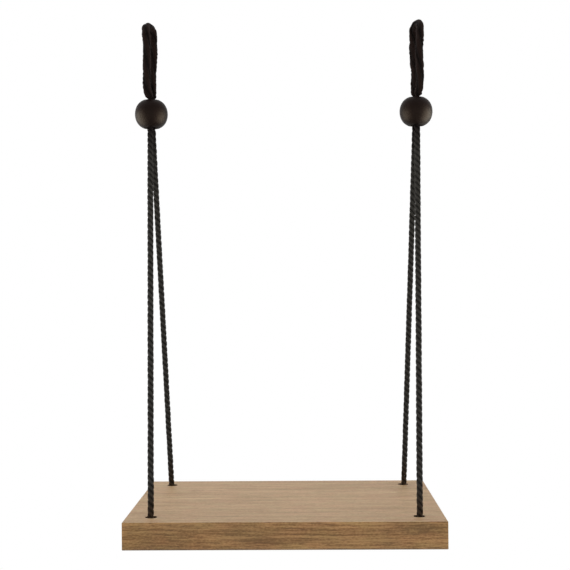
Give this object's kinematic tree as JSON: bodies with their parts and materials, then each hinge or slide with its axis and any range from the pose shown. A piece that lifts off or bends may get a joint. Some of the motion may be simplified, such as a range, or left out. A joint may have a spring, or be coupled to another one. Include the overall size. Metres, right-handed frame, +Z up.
{
  "type": "hanging rope shelf",
  "caption": "Small oak board hung level from two black laid ropes, each drawn together by a turned black bead under a narrow hanging eye.",
  "frame": {"origin": "middle of the straight line between the two places, inside the tops of the two eyes, where hooks carry the shelf", "axes": "+X along the board to the viewer's right, +Y from the front edge to the back, +Z up"},
  "size_m": [0.3528, 0.25, 0.5965],
  "materials": {
    "oak": "oiled or matt lacquered natural oak, lengthwise grain, satin",
    "black_rope": "soft three-strand laid cotton rope, dyed black, matt and slightly hairy",
    "black_bead": "turned hardwood stained black-brown, fine grain, satin wax"
  },
  "bodies": {
    "eyes": {"eye_left": "black_rope", "eye_right": "black_rope"},
    "throats": {"throat_left_front": "black_rope", "throat_left_back": "black_rope", "throat_right_front": "black_rope", "throat_right_back": "black_rope"},
    "left_bead": {"bead_left": "black_bead"},
    "right_bead": {"bead_right": "black_bead"},
    "left_ropes": {"rope_left_front": "black_rope", "rope_left_back": "black_rope"},
    "right_ropes": {"rope_right_front": "black_rope", "rope_right_back": "black_rope"},
    "shelf": {"board": "oak", "knot_left_front": "black_rope", "knot_left_back": "black_rope", "knot_right_front": "black_rope", "knot_right_back": "black_rope"}
  },
  "joints": [
    {"name": "swing_fore_aft", "type": "hinge", "parent": "eyes", "child": "throats", "pos_m": [0, 0, -0.07465], "axis": [1, 0, 0], "range_deg": [-25, 25], "deforming": ["throat_left_front", "throat_left_back", "throat_right_front", "throat_right_back"]},
    {"name": "sway_left", "type": "hinge", "parent": "throats", "child": "left_ropes", "pos_m": [-0.157, 0, -0.11565], "axis": [0, -1, 0], "range_deg": [-20, 20], "deforming": ["rope_left_front", "rope_left_back"]},
    {"name": "sway_right", "type": "hinge", "parent": "throats", "child": "right_ropes", "pos_m": [0.157, 0, -0.11565], "axis": [0, -1, 0], "range_deg": [-20.1, 20.1], "deforming": ["rope_right_front", "rope_right_back"]},
    {"name": "board_level", "type": "hinge", "parent": "left_ropes", "child": "shelf", "pos_m": [-0.1477, 0, -0.55735], "axis": [0, -1, 0], "range_deg": [-21.4, 21.4]},
    {"name": "bead_left_slide", "type": "slide", "parent": "throats", "child": "left_bead", "axis": [0, 0, 1], "range_m": [-0.005, 0]},
    {"name": "bead_right_slide", "type": "slide", "parent": "throats", "child": "right_bead", "axis": [0, 0, 1], "range_m": [-0.005, 0]}
  ],
  "couplings": [
    {"joint": "sway_right", "follows": "sway_left", "ratio": 1},
    {"joint": "board_level", "follows": "sway_left", "ratio": -1.063}
  ]
}
